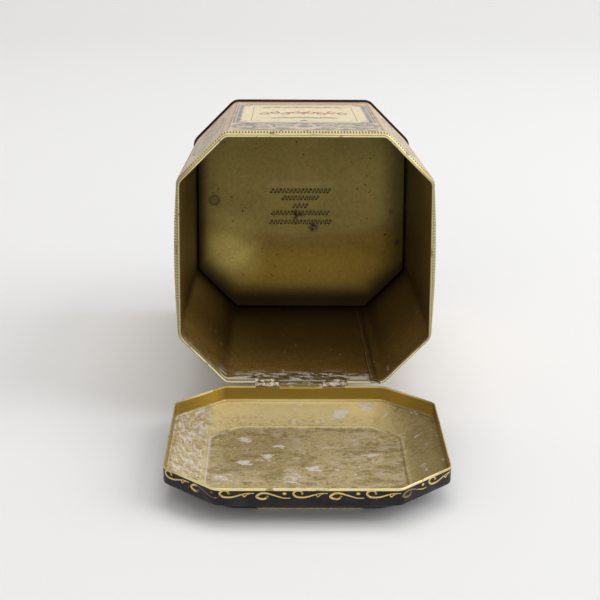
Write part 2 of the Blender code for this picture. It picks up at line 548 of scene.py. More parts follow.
def taper(count, thick, start=0.5, end=0.3, peak=0.25):
    """Pen width along a stroke, thickest near its peak."""
    part = np.linspace(0, 1, count)
    rise = smooth_step(part, 0, peak)
    fall = 1 - smooth_step(part, peak, 1)
    return thick * np.where(part < peak, start + (1 - start) * rise, end + (1 - end) * fall)


def spiral(s, t, radius, turns, start, flip=1, squash=1.0):
    """Path that winds in to a centre; flip -1 turns it the other way."""
    part = np.linspace(0, 1, round(14 * turns) + 4)
    reach = radius * (1 - 0.82 * part)
    angle = start + part * turns * math.tau
    return np.stack([s + flip * reach * np.cos(angle), t + squash * reach * np.sin(angle)], 1)


# Materials


class Nodes:
    """Short names for building one node material."""

    def __init__(self, name):
        self.material = bpy.data.materials.new(name)
        self.material.use_nodes = True
        self.tree = self.material.node_tree
        self.shader = self.tree.nodes["Principled BSDF"]
        self.place = self.tree.nodes.new("ShaderNodeTexCoord").outputs["Object"]
        split = self.node("SeparateXYZ", Vector=self.place)
        self.x, self.a, self.v = (self.math("MULTIPLY", out, 1 / MM) for out in split.outputs)

    def value(self, socket, source):
        """Sets an input to a number or colour, or links an output to it."""
        if isinstance(source, bpy.types.NodeSocket):
            self.tree.links.new(source, socket)
        elif socket.type == "RGBA":
            socket.default_value = (*source, 1.0)
        else:
            socket.default_value = source

    def node(self, kind, **inputs):
        """New node with its inputs; an underscore stands for a space."""
        node = self.tree.nodes.new("ShaderNode" + kind)
        for name, source in inputs.items():
            self.value(node.inputs[name.replace("_", " ")], source)
        return node

    def noise(self, scale, detail=4.0, roughness=0.55, stretch=(1, 1, 1), offset=0.0, distort=0.0):
        """Noise in 0 to 1; scale is in features per metre."""
        mapping = self.node("Mapping", Vector=self.place, Scale=stretch, Location=(offset,) * 3)
        shape = {"Scale": scale, "Detail": detail, "Roughness": roughness, "Distortion": distort}
        return self.node("TexNoise", Vector=mapping.outputs["Vector"], **shape).outputs["Fac"]

    def math(self, operation, first, second=0.0):
        node = self.tree.nodes.new("ShaderNodeMath")
        node.operation = operation
        self.value(node.inputs[0], first)
        self.value(node.inputs[1], second)
        return node.outputs[0]

    def ramp(self, source, low, high, out_low=0.0, out_high=1.0):
        """Smooth step of a value from low to high."""
        node = self.node(
            "MapRange", Value=source, From_Min=low, From_Max=high, To_Min=out_low, To_Max=out_high
        )
        node.interpolation_type = "SMOOTHSTEP"
        return node.outputs["Result"]

    def both(self, *masks):
        """Product of masks."""
        result = masks[0]
        for mask in masks[1:]:
            result = self.math("MULTIPLY", result, mask)
        return result

    def either(self, *masks):
        """Greatest of several masks."""
        result = masks[0]
        for mask in masks[1:]:
            result = self.math("MAXIMUM", result, mask)
        return result

    def inside(self, value, low, high, soft):
        """Mask of a value between two limits."""
        return self.both(self.ramp(value, low - soft, low + soft), self.ramp(value, high + soft, high - soft))

    def mix(self, factor, first, second):
        node = self.tree.nodes.new("ShaderNodeMix")
        node.data_type = "RGBA"
        for index, source in ((0, factor), (6, first), (7, second)):
            self.value(node.inputs[index], source)
        return node.outputs[2]

    def coats(self, base, *layers):
        """Colour under (mask, colour) layers, the last on top."""
        for mask, colour in layers:
            base = self.mix(mask, base, colour)
        return base

    def spot(self, x, v, reach, soft=0.6):
        """Round mark on a panel square to the body's length."""
        across = self.math("POWER", self.math("SUBTRACT", self.x, x), 2.0)
        upright = self.math("POWER", self.math("SUBTRACT", self.v, v), 2.0)
        far = self.math("SQRT", self.math("ADD", across, upright))
        return self.ramp(far, reach + soft, reach - soft)

    def bump(self, height, strength, distance):
        node = self.node("Bump", Height=height, Strength=strength, Distance=distance)
        self.value(self.shader.inputs["Normal"], node.outputs["Normal"])

    def finish(self, colour, roughness, metallic=0.0, specular=0.5):
        """The material with its final colour and surface."""
        for name, source in (
            ("Base Color", colour), ("Roughness", roughness),
            ("Metallic", metallic), ("Specular IOR Level", specular),
        ):
            self.value(self.shader.inputs[name], source)
        return self.material


def tone(colour, part):
    """Lighter or darker tone of a colour."""
    return tuple(part * c for c in colour)


def lacquer_inside():
    """Dull brown-gold lacquer, chalky along the mouth of the rear wall, with painted shade deep inside and
    toward the right and painted light toward the left.
    """
    n = Nodes("body_lacquer")
    mottle = n.ramp(n.noise(60, 6), 0.35, 0.7)
    grain = n.noise(900, 3)
    dust = n.both(n.ramp(n.noise(700, 2, offset=9.0), 0.66, 0.7), n.ramp(n.v, 40, 5), n.ramp(n.a, 90, 20))
    rough = n.noise(260, 6, 0.65, stretch=(0.45, 1, 1), offset=1.0)
    mouth = n.both(n.ramp(n.a, 30, 12), n.ramp(n.v, 5, 1.5), n.inside(n.x, -45, 29, 4))
    lip = n.both(n.ramp(n.a, 8, 5), n.ramp(n.v, 5, 1.5), n.ramp(n.x, 31, 27))
    edge = n.both(n.ramp(n.a, 16, 5), n.ramp(n.v, 38, 26), n.ramp(n.x, -25, -32))
    side = n.both(n.ramp(n.a, 11, 4), n.ramp(n.v, 52, 30), n.ramp(n.x, -48, -51))
    flaked = n.ramp(n.math("ADD", rough, n.ramp(n.a, 17, 4, 0, 0.17)), 0.46, 0.55)
    streak = n.noise(500, 3, 0.5, stretch=(1, 0.12, 0.4), offset=4.0)
    scratches = n.both(n.ramp(streak, 0.68, 0.72), n.ramp(n.v, 45, 10), n.ramp(n.a, 110, 60))
    chalk = n.both(n.either(mouth, lip, edge, side), flaked)
    chalk = n.either(chalk, n.both(n.either(dust, scratches), 0.6))
    base = n.coats(
        LACQUER_DARK,
        # painted shade: darker from the mouth toward the base, lit near the mouth
        (n.ramp(n.a, 150, 80), LACQUER_BROWN),
        (n.ramp(n.a, 90, 15), LACQUER_LIT),
        (n.both(mottle, 0.35), LACQUER_DARK),
        # painted shade toward the right wall, painted light toward the left wall
        (n.ramp(n.x, -20, 50, 0, 0.45), LACQUER_DARK),
        (n.ramp(n.x, -30, -50, 0, 0.35), LACQUER_LIT),
        (n.ramp(n.noise(480, 5, 0.7, offset=12.0), 0.3, 0.7, 0, 0.45), LACQUER_DARK),
        (n.ramp(n.noise(420, 2, offset=3.0), 0.66, 0.72), RUST),
        (chalk, CHALK_WALL),
    )
    n.bump(n.math("ADD", n.both(grain, 0.3), chalk), 0.25, 0.0002)
    rough = n.either(n.ramp(grain, 0.2, 0.8, 0.34, 0.5), n.both(chalk, 0.8))
    return n.finish(base, rough, n.ramp(chalk, 0, 1, 0.8, 0.1))


def lacquer_floor():
    """Olive-gold lacquer of the base panel, with rust and a ring stain, a painted reflection and painted
    highlights, and painted shade along its edges.
    """
    n = Nodes("floor_lacquer")
    grain = n.noise(1100, 3)
    # painted reflection: curved line below which the dished panel reflects light
    reflection_line = n.math("SUBTRACT", n.v, n.both(n.math("POWER", n.x, 2.0), 0.0044))
    # painted light: bright patch low on the left of the panel
    light_patch = n.both(n.inside(n.x, -50, -26, 11), n.inside(n.v, 20, 43, 12), 0.9)
    # painted highlight: pale strip just above the top row of studs
    pale = n.both(n.inside(n.x, -17, 17, 3), n.inside(n.v, 63, 66.5, 1.3), 0.5)
    # painted shade along the panel's lower edge, its sides and lower corners
    corner = n.ramp(n.math("SUBTRACT", n.math("ABSOLUTE", n.x), n.v), 16, 32)
    edge = n.either(n.ramp(n.v, 15, 5), n.ramp(n.x, -46, -53), n.ramp(n.x, 38, 55, 0, 0.75), corner)
    specks = n.ramp(n.noise(520, 2, offset=5.0), 0.705, 0.73)
    ragged = n.ramp(n.both(n.noise(500, 4, offset=2.0), 2.2), 0.75, 1.25)
    rust = n.both(n.either(n.spot(-2.0, 49.0, 2.6, 1.4), n.spot(6.2, 42.5, 2.2, 1.2)), ragged)
    hollow = n.both(n.spot(*RING_STAIN, 1.9), 0.7)
    ring = n.both(n.spot(*RING_STAIN, 2.9), n.math("SUBTRACT", 1.0, hollow), 0.7)
    right = n.either(n.both(n.spot(46.5, 51, 1.4), 0.5), n.spot(50, 35, 1.5), n.spot(43.3, 39, 0.6, 0.3))
    marks = n.either(specks, rust, ring, right)
    base = n.coats(
        LACQUER_OLIVE,
        (n.ramp(n.noise(45, 6), 0.3, 0.75), tone(LACQUER_OLIVE, 1.15)),
        # painted reflection: warmer gold below the curved line, with a darker brown band along it
        (n.ramp(reflection_line, 40, 30), REFLECTION_GOLD),
        (light_patch, LIT_PATCH_GOLD),
        (pale, EMBOSS_HIGHLIGHT),
        (n.both(n.inside(reflection_line, 32, 38, 4), 0.3), LACQUER_BROWN),
        # painted shade at the edges, then a faint random darker mottle
        (n.both(edge, 0.92), LACQUER_SHADE_AND_MOTTLE),
        (n.ramp(n.noise(600, 4, 0.7, offset=9.0), 0.35, 0.65, 0, 0.16), LACQUER_SHADE_AND_MOTTLE),
        (marks, RUST),
    )
    n.bump(grain, 0.1, 0.0002)
    rough = n.either(n.ramp(grain, 0.2, 0.8, 0.36, 0.46), n.both(marks, 0.7))
    return n.finish(base, rough, n.ramp(marks, 0, 1, 0.85, 0.2))


def rim_metal(name, colour):
    """Bare gold of the neck, hem and lip, rubbed at its high places."""
    n = Nodes(name)
    wear = n.ramp(n.noise(300, 4), 0.42, 0.62)
    base = n.coats(
        colour,
        (wear, RIM_PALE),
        (n.both(n.ramp(n.noise(180, 5, offset=6.0), 0.58, 0.68), 0.8), OLIVE_STAIN_AND_SHADE),
        (n.ramp(n.noise(240, 3, offset=2.0), 0.66, 0.69), TARNISH),
        # darker toward the two side walls
        (n.ramp(n.math("ABSOLUTE", n.x), 44, 51, 0, 0.5), OLIVE_STAIN_AND_SHADE),
    )
    return n.finish(base, n.ramp(wear, 0, 1, 0.3, 0.45), 0.65)


def litho_print():
    """Cream ground of the printed wall, peach toward the base."""
    n = Nodes("litho_cream")
    base = n.coats(
        LITHO_CREAM,
        (n.ramp(n.noise(35, 5), 0.3, 0.7), CREAM_WARM),
        (n.ramp(n.a, 132, 154, 0, 0.75), LITHO_PEACH),
        (n.both(n.ramp(n.noise(90, 5, offset=8.0), 0.5, 0.75), 0.35), CREAM_HAZE),
        (n.ramp(n.noise(330, 4, 0.6, stretch=(1, 0.3, 1)), 0.70, 0.73), CREAM_SCUFF),
    )
    return n.finish(base, n.ramp(n.noise(200, 3), 0.3, 0.7, 0.38, 0.52), specular=0.3)


def ink(name, colour, strength=0.85):
    """Printed line, worn through to the ground in places."""
    n = Nodes(name)
    worn = n.both(n.ramp(n.noise(260, 5, 0.6), 0.42, 0.66), strength)
    return n.finish(n.mix(worn, colour, LITHO_CREAM), 0.5, specular=0.25)


def japan_black(name):
    """Black japan with faint dust and small chips to the tin."""
    n = Nodes(name)
    base = n.coats(
        JAPAN_BLACK,
        (n.ramp(n.noise(140, 5), 0.4, 0.75), BLACK_DUST),
        (n.ramp(n.noise(420, 3, offset=7.0), 0.71, 0.735), BLACK_CHIP),
    )
    return n.finish(base, n.ramp(n.noise(300, 4), 0.3, 0.7, 0.3, 0.45), specular=0.22)


def lid_chalk(n, on_panel, on_bevel, left, knuckle):
    """Mask of the lid's white patches, streaks at its left and flecks at its hinge."""
    ragged = n.noise(330, 7, 0.7, stretch=(0.55, 1, 1), offset=11.0)
    patches = n.both(n.either(*(n.spot(*patch) for patch in LID_PATCHES)), 0.14)
    white = n.ramp(n.math("ADD", ragged, patches), 0.60, 0.65)
    sheen = n.noise(700, 6, 0.7, stretch=(0.6, 1, 0.4), offset=3.0, distort=0.6)
    flecks = n.noise(520, 6, 0.7, stretch=(0.6, 1, 1), offset=4.0)
    return n.either(
        n.both(white, n.either(on_panel, on_bevel)),
        n.both(on_bevel, left, n.ramp(sheen, 0.45, 0.6)),
        n.both(knuckle, n.ramp(flecks, 0.5, 0.6)),
    )


def lid_inside():
    """Bright gold lacquer under speckled beige residue with chalky patches, with painted shade on the skirt
    and on the right bevel.
    """
    n = Nodes("lid_lacquer")
    fine = n.noise(1300, 5, 0.65)
    middle = n.noise(620, 6, 0.7, stretch=(0.75, 1, 1), offset=1.0)
    on_panel = n.ramp(n.a, PANEL_A + 1.6, PANEL_A + 0.6)
    on_bevel = n.both(n.ramp(n.a, -0.9, -1.9), n.math("SUBTRACT", 1.0, on_panel))
    left = n.ramp(n.x, -36, -42)
    sides = n.either(left, n.ramp(n.v, 82, 90), n.both(n.ramp(n.x, 34, 40), 0.8))
    low = n.ramp(n.a, -4.5, -7.5, 0.12, 0.5)
    dirty = n.either(on_panel, n.both(on_bevel, sides), n.both(on_bevel, low))
    cover = n.math("ADD", n.both(middle, 0.6), n.both(fine, 0.4))
    film = n.both(n.ramp(cover, 0.38, 0.5), dirty)
    shady = n.both(n.ramp(n.x, 30, 46), on_bevel)
    stain = n.ramp(n.noise(560, 6, 0.75, stretch=(0.75, 1, 1), offset=5.0), 0.50, 0.58)
    broad = n.ramp(n.noise(70, 4, 0.5, offset=2.0), 0.36, 0.52)
    speckle = n.ramp(n.noise(2600, 3, 0.7, offset=7.0), 0.3, 0.7)
    bald = n.ramp(n.noise(150, 6, 0.7, stretch=(0.6, 1, 1), offset=14.0), 0.51, 0.58)
    milky = n.ramp(n.noise(210, 7, 0.72, stretch=(0.6, 1, 1), offset=21.0), 0.50, 0.60)
    dull = n.both(on_panel, n.inside(n.x, -34, -6, 5), n.inside(n.v, 24, 62, 8), 0.45)
    knuckle = n.both(n.ramp(n.a, 3.9, 4.4), n.ramp(n.v, 1.6, 1.0))
    fold = n.inside(n.a, PANEL_A + 0.68, PANEL_A + 0.9, 0.08)
    chalk = lid_chalk(n, on_panel, on_bevel, left, knuckle)
    base = n.coats(
        LACQUER_GOLD,
        # painted shade: the skirt darker than the bevel and panel, which face the light
        (n.ramp(n.a, -1.9, -1.4), SKIRT_IN_SHADE),
        # painted shade on the right bevel, which faces away from the key light
        (n.both(shady, 0.85), OLIVE_STAIN_AND_SHADE),
        (n.both(film, n.ramp(shady, 0, 1, 0.85, 0.45)), RESIDUE),
        (n.both(stain, dirty, broad, 0.8), OLIVE_STAIN_AND_SHADE),
        (n.both(speckle, dirty, 0.5), OLIVE_STAIN_AND_SHADE),
        (n.both(bald, on_panel, 0.65), OLIVE_STAIN_AND_SHADE),
        (n.both(milky, on_panel, 0.6), RESIDUE_PALE),
        (dull, OLIVE_STAIN_AND_SHADE),
        (n.both(knuckle, 0.85), KNUCKLE_BROWN),
        (n.both(chalk, 0.9), CHALK),
        (n.both(fold, n.ramp(n.x, -34, -37), 0.6), CHALK),
        (n.both(fold, n.ramp(n.x, 34, 37), 0.5), FOLD_SHADE),
        (n.both(fold, n.ramp(n.v, 20, 17), 0.75), LACQUER_GOLD),
    )
    layer = n.either(film, chalk)
    n.bump(n.math("ADD", n.both(layer, 0.5), n.both(fine, layer, 1.2)), 0.5, 0.00025)
    metallic = n.both(n.ramp(n.a, -1.9, -1.4, 0.35, 0.8), n.ramp(layer, 0, 1, 1.0, 0.2))
    return n.finish(base, n.ramp(layer, 0, 1, 0.32, 0.62), metallic)


def hinge_lacquer():
    """Gold of the hinge leaf, flecked with chalk where it rubs."""
    n = Nodes("hinge_gold")
    flecks = n.ramp(n.noise(520, 6, 0.7, stretch=(0.6, 1, 1), offset=4.0), 0.52, 0.60)
    worn = n.ramp(n.noise(300, 6, 0.7, offset=2.0), 0.48, 0.58)
    chalk = n.either(n.both(flecks, n.ramp(n.a, 9, 6)), worn)
    base = n.coats(
        HINGE_DARK,
        (n.ramp(n.noise(300, 5), 0.35, 0.65), HINGE_GOLD),
        (n.both(chalk, 0.9), CHALK_WALL),
    )
    n.bump(chalk, 0.3, 0.0002)
    return n.finish(base, n.ramp(chalk, 0, 1, 0.4, 0.75), n.ramp(chalk, 0, 1, 0.75, 0.1))


def gold_ink():
    """Gold of the lid's wave and border, nearly worn off at two corners."""
    n = Nodes("gold_ink")
    corner = n.both(n.inside(n.math("ABSOLUTE", n.x), 33.5, 41.0, 1.0), n.ramp(n.v, 99, 101))
    worn = n.both(corner, n.ramp(n.x, 0, -2, 0.75, 0.9))
    rubbed = n.ramp(n.noise(350, 4, offset=3.0), 0.60, 0.68)
    base = n.coats(
        INK_GOLD,
        (n.ramp(n.noise(500, 3), 0.35, 0.7), tone(INK_GOLD, 0.8)),
        (n.either(worn, n.both(rubbed, 0.5)), INK_WORN),
    )
    return n.finish(base, 0.4, 0.3)


def plain(name, colour, roughness, metallic=0.0):
    """Small part or mark in one tone, broken by a fine mottle."""
    n = Nodes(name)
    mottle = n.ramp(n.noise(600, 4), 0.35, 0.65)
    return n.finish(n.mix(mottle, colour, tone(colour, 0.7)), roughness, metallic)


# Body piece


def build_body(matrix, materials):
    """Wrapped wall: rolled lip, neck, milled shoulder, long wall, inner face."""
    printed, lacquer, gold, lip, shade = range(len(materials))
    inner = NECK_INSET + SHEET
    neck = HEM + 0.05
    profile = arc(NECK_INSET + LIP_R, LIP_R, LIP_R, 113, -180, 10)
    profile += [(NECK_INSET, 1.4), (NECK_INSET, 3.0), (NECK_INSET, neck)]
    neck_end = len(profile)
    for t in np.linspace(0.0, 1.0, 6)[1:]:
        profile.append((NECK_INSET * (1 - smooth_step(t, 0, 1)), neck + 0.5 * t))
    profile += [(0.0, 6.0), (0.0, NOTCH_END)]
    turned = len(profile) - 1
    profile += [(0.0, 7.8), (0.0, 8.4), (0.0, 8.9)]
    rim_end = len(profile)
    wall_end = BODY_LENGTH - SHEET - GAP
    profile += [(0.0, a) for a in np.linspace(10.0, wall_end, 20)]
    outer_end = len(profile)
    profile += [(SHEET, a) for a in np.linspace(wall_end, 8.2, 20)]
    back = len(profile) - turned
    profile += [(SHEET, NOTCH_END), (SHEET, 6.2)]
    for t in np.linspace(0.0, 1.0, 5)[1:]:
        profile.append((SHEET + (inner - SHEET) * smooth_step(t, 0, 1), 6.2 - 0.9 * t))
    inner_ridge = len(profile)
    profile += [(inner, 3.5), (inner, 1.6)]
    teeth = [0.0] * len(profile)
    for i in range(neck_end, rim_end):
        a = profile[i][1]
        teeth[i] = float(smooth_step(a, *TEETH_RISE) * (1 - smooth_step(a, *TEETH_FALL)))
    # Painted light and shade: the rolled lip's crest is pale as a painted highlight between strips of painted
    # shade, and the inner step is rim gold as a painted highlight
    zones = [lacquer] * 3 + [shade] * 2 + [lip] * 3 + [shade] * 2
    zones += [gold] * (rim_end - 1 - len(zones)) + [printed] * (outer_end - rim_end)
    zones += [lacquer] * (inner_ridge - 3 - len(zones)) + [gold] * 3
    zones += [lacquer] * (len(profile) - len(zones))
    # painted shade in the valleys of the milled teeth
    for k in range(neck_end + 1, rim_end - 2):
        zones[k] = (zones[k], shade)
    profile = profile[turned:] + profile[:turned]
    rings = sweep(profile, TOOTH_PITCH / 4, True, teeth[turned:] + teeth[:turned])
    notch = (back, len(rings), *notch_columns(rings[0]))
    wall = loft("tin_body", rings, zones[turned:] + zones[:turned], materials, notch=notch)
    stand(crease(wall), matrix, "body", "body_wall")


def build_lap(matrix, lacquer, dark):
    """Overlap of the sheet inside the rear wall, its groove, and a painted highlight line along its raised
    edge.
    """
    rise = SHEET + LAP_RISE
    steps = np.linspace(LAP_START, FLOOR - 1.0, 24)
    wander = 0.12 * np.sin(steps * 0.11) + 0.05 * np.sin(steps * 0.53)
    neck = (1 - smooth_step(steps, 4.6, 6.4)) * NECK_INSET
    section = [
        (0.0, SHEET - 0.05), (0.05, rise - 0.04), (0.16, rise),
        (LAP_WIDTH - 0.5, rise), (LAP_WIDTH, SHEET - 0.05),
    ]
    points = [(LAP_X + x + wander[k], a, v + neck[k]) for k, a in enumerate(steps) for x, v in section]
    lap = add_object("side_seam", points, grid(len(steps), len(section)), [lacquer])
    stand(crease(lap), matrix, "body")
    groove = []
    for k, a in enumerate(steps):
        wide = 0.22 if a < 90 else 0.14
        groove.append((LAP_X + wander[k] - wide, a, SHEET + 0.02 + neck[k]))
        groove.append((LAP_X + wander[k] + 0.03, a, SHEET + 0.03 + neck[k]))
    # painted highlight: a pale line along the lap's raised edge, beside the groove
    ridge = [(x + 0.42, a, v + LAP_RISE) for x, a, v in groove]
    pale = plain("seam_highlight", SEAM_HIGHLIGHT, 0.5, 0.4)
    for name, points, material in (("side_seam_groove", groove, dark), ("side_seam_highlight", ridge, pale)):
        line = add_object(name, points, grid(len(steps), 2), [material])
        stand(line, matrix, "body")
    build_lap_end(matrix, "side_seam_end", lacquer, (LAP_X - 0.2, LAP_X + 3.6), -0.12, 0.0)
    build_lap_end(matrix, "side_seam_end_edge", dark, (LAP_X - 0.6, LAP_X + 3.9), -0.06, 0.2)


def build_lap_end(matrix, name, material, span, front, grow):
    """Folded end of the overlap at the lip, or the dark edge round it."""
    left, right = span
    low, high = NECK_INSET + 0.3, NECK_INSET + 1.3
    corners = (
        (left, high + grow), (left + 0.5, low + 0.25 - grow),
        (right, low - 0.15 - grow), (right - 0.3, low + 0.35 + grow),
    )
    points = [(x, a, v) for a in (front, 1.6) for x, v in corners]
    faces = [(0, 1, 2, 3), (7, 6, 5, 4), (0, 3, 7, 4), (1, 5, 6, 2), (0, 4, 5, 1), (3, 2, 6, 7)]
    end = add_object(name, points, faces, [material], smooth=False)
    stand(end, matrix, "body")


# Base piece


def dish(inset):
    """Depth of the base panel behind its edge, for an inset from the wall."""
    return float(DISH_DEPTH * smooth_step(inset, *DISH_SPAN))


def build_base(matrix, black, inside):
    """Pressed base: rounded seam, countersink wall and a dished panel."""
    seam_start = BODY_LENGTH - SEAM_HEIGHT
    rim = SHEET + GAP + SHEET
    r = SEAM_R
    centre = r - SEAM_PROUD
    profile = [(-GAP + 0.1, seam_start + 0.15)]
    profile += arc(centre, seam_start + r, r, 270, 180, 5)
    profile += arc(centre, BODY_LENGTH - r, r, 180, 90, 5)
    profile += arc(rim - r, BODY_LENGTH - r, r, 90, 0, 5)
    profile += [(rim, FLOOR + SHEET + 0.8)]
    insets = [1.3, 2.2, 4, 6, *range(9, 37, 3)]
    profile += [(i, FLOOR + SHEET + dish(i)) for i in insets]
    back_ring = len(profile) - 1
    profile += [(i, FLOOR + dish(i)) for i in reversed(insets)]
    profile += [(rim - SHEET, FLOOR + 0.5), (rim - SHEET, BODY_LENGTH - 0.9), (-0.5, BODY_LENGTH - 0.9)]
    zones = [0] * back_ring + [1] * (len(profile) - back_ring)
    caps = (
        (back_ring, (0.0, FLOOR + SHEET + DISH_DEPTH, MIDDLE), 0, False),
        (back_ring + 1, (0.0, FLOOR + DISH_DEPTH, MIDDLE), 1, True),
    )
    base = loft("tin_base", sweep(profile, 1.6), zones, [black, inside], back_ring, caps)
    stand(crease(base), matrix, "body", "base_panel")


def build_studs(matrix, olive, dark):
    """Plain raised studs in five rows on the base panel's inner face, each over a dark ring of painted shadow
    set a little below it.
    """
    points = []
    faces = []
    stud_shadows = Print()
    for middle, width in STUD_ROWS:
        count = 2 * max(4, round(width / STUD_PITCH))
        for i in range(count):
            x = STUD_X - width / 2 + width * (i + 0.5) / count
            v = middle + (STUD_STAGGER if i % 2 else -STUD_STAGGER)
            inset = WIDTH / 2 - max(abs(x), abs(v - MIDDLE))
            # painted shadow: a dark ring a little wider than the stud, offset downward
            stud_shadows.dot(x + 0.06, v - 0.12, STUD_R + 0.12)
            add_stud(points, faces, x, FLOOR + dish(inset) - 0.02, v)
    stand(add_object("base_studs", points, faces, [olive]), matrix, "body")
    ground = Plate(FLOOR + DISH_DEPTH - 0.05)
    stud_shadows.lay("base_stud_shadows", ground, dark, matrix, "body", "base_tinplate")


def add_stud(points, faces, x, a, v):
    """Adds a round dome standing toward the mouth."""
    base = len(points)
    count = STUD_SIDES
    for part, rise in ((1.0, 0.0), (0.86, 0.6), (0.55, 0.92)):
        reach = STUD_R * part
        for angle in (k * math.tau / count for k in range(count)):
            points.append((x + reach * math.cos(angle), a - STUD_HEIGHT * rise, v + reach * math.sin(angle)))
    points.append((x, a - STUD_HEIGHT, v))
    for low in (base, base + count):
        for k in range(count):
            j = (k + 1) % count
            faces.append((low + k, low + count + k, low + count + j, low + j))
    top = base + 2 * count
    for k in range(count):
        faces.append((top + k, top + count, top + (k + 1) % count))


# Lid piece


def build_lid(matrix, black, inside, rim):
    """Hem bead, skirt, rounded ledge, bevel and flat panel, both faces."""
    r = HEM_R
    skirt_end = HEM - SKIRT
    inner = LID_INSET + SHEET
    relief = HEM - 0.9
    profile = [(LID_INSET, relief)]
    profile += arc(LID_INSET + r - 0.05, HEM - r, r, 190, -10, 12)
    rim_end = len(profile)
    profile += [(inner, relief), (inner, 2.0), (inner, 0.0)]
    r = LEDGE_INNER_R
    profile += arc(inner + r, skirt_end + SHEET + r, r, 180, 270, 4)
    slope = np.linspace(0, 1, 8)
    drop = PANEL_A - skirt_end
    profile += [(LEDGE_INSET + 0.35, skirt_end + SHEET), (LEDGE_INSET + 0.6, skirt_end + SHEET - 0.25)]
    span = PANEL_INSET - LEDGE_INSET
    profile += [(LEDGE_INSET + span * t, skirt_end + drop * t + SHEET + 0.08) for t in slope[1:-1]]
    profile += [(PANEL_INSET - 0.5, PANEL_A + SHEET + 0.55), (PANEL_INSET + 0.05, PANEL_A + SHEET + 0.42)]
    profile += [(PANEL_INSET + 0.5, PANEL_A + SHEET), (DEEPEST, PANEL_A + SHEET)]
    inner_ring = len(profile) - 1
    profile += [(DEEPEST, PANEL_A), (PANEL_FOLD + 1.2, PANEL_A)]
    span = PANEL_FOLD - LEDGE_INSET
    profile += [(LEDGE_INSET + span * t, skirt_end + drop * t) for t in slope[:0:-1]]
    profile += [(LEDGE_INSET, skirt_end)]
    profile += arc(LID_INSET + LEDGE_R, skirt_end + LEDGE_R, LEDGE_R, 270, 180, 6)
    profile += [(LID_INSET, 0.0), (LID_INSET, 2.0)]
    zones = [2] * rim_end + [1] * (inner_ring - rim_end) + [0] * (len(profile) - inner_ring)
    caps = (
        (inner_ring, (0.0, PANEL_A + SHEET, MIDDLE), 1, True),
        (inner_ring + 1, (0.0, PANEL_A, MIDDLE), 0, False),
    )
    rings = [ring[::-1] for ring in sweep(profile, 1.2)]
    notch = (0, rim_end, *notch_columns(rings[0]))
    lid = loft("tin_lid", rings, zones, [black, inside, rim], inner_ring, caps, notch)
    stand(crease(lid), matrix, "lid", "lid_shell")


# Hinge


def rolled(path, x_span, thickness, points, faces):
    """Adds a strip of sheet along a path of (a, v), closed at its edges."""
    path = np.asarray(path, float)
    way = np.gradient(path, axis=0)
    way /= np.hypot(way[:, 0], way[:, 1])[:, None]
    side = np.stack([-way[:, 1], way[:, 0]], 1) * thickness / 2
    loop = np.vstack([path + side, (path - side)[::-1]])
    base = len(points)
    count = len(loop)
    for x in x_span:
        points += [(x, a, v) for a, v in loop]
    for i in range(count):
        j = (i + 1) % count
        faces.append((base + i, base + j, base + count + j, base + count + i))
    half = len(path)
    for i in range(half - 1):
        near = (i, i + 1, count - 2 - i, count - 1 - i)
        faces.append(tuple(base + k for k in near))
        faces.append(tuple(base + count + k for k in reversed(near)))


def eye_path(first, last, steps=26):
    """Points (a, v) of a strip rolled round the wire, angles in degrees."""
    return arc(AXIS_A, AXIS_V, EYE_R, first, last, steps - 1)


def build_hinge(body_matrix, lid_matrix, leaf_material, lid_material):
    """Leaf inside the rear wall with its two eyes, and the lid's tongue."""
    flat = SHEET + GAP + SHEET / 2
    left = HINGE_X - HINGE_LENGTH / 2
    right = HINGE_X + HINGE_LENGTH / 2
    points, faces = [], []
    plate = [(LEAF_END, flat), (LEAF_END - 0.1, flat), (12.0, flat), (NOTCH_END, flat)]
    rolled(plate, (left - LEAF_MARGIN, right + LEAF_MARGIN), SHEET, points, faces)
    arm = [(NOTCH_END + 0.2, flat), (NOTCH_END - 0.4, flat), (AXIS_A + 1.05, AXIS_V + EYE_R + 0.25)]
    arm = list(curve(arm, 5)) + eye_path(80.0, 360.0)
    for span in ((left, left + KNUCKLE), (right - KNUCKLE, right)):
        rolled(arm, span, SHEET, points, faces)
    leaf = add_object("hinge_leaf", points, faces, [leaf_material])
    stand(crease(leaf), body_matrix, "body", "body_hinge_leaf")

    half = HINGE_LENGTH / 2 - KNUCKLE - GAP
    root = LID_INSET + SHEET + 0.12
    arm = [(0.9, root), (2.2, root), (HEM - 1.1, root), (AXIS_A - 0.5, 0.02)]
    arm = list(curve(arm, 5)) + eye_path(97.0, -180.0)
    points, faces = [], []
    rolled(arm, (HINGE_X - half, HINGE_X + half), SHEET, points, faces)
    tongue = add_object("lid_tongue", points, faces, [lid_material])
    stand(crease(tongue), lid_matrix, "lid")


# Prints


def wave_up(ink, s, wide):
    """Curl that opens upward, its tail rising to the right with a barb."""
    path = curve([
        (3.6, 2.8), (3.0, 3.7), (1.5, 3.9), (0.25, 2.8), (1.6, 1.45),
        (4.6, 1.35), (7.6, 2.2), (10.0, 2.8), (12.7, 2.85),
    ])
    ink.pen(path * (wide, 1) + (s, 0), 0.72, 0.85, 0.4, 0.45)
    ink.dot(s + 3.5 * wide, 2.85, 0.45, 0.4)
    barb = curve([(8.4, 2.45), (9.1, 1.55), (10.0, 2.25), (11.4, 2.75)], 4)
    ink.pen(barb * (wide, 1) + (s, 0), 0.5, 0.7, 0.3)


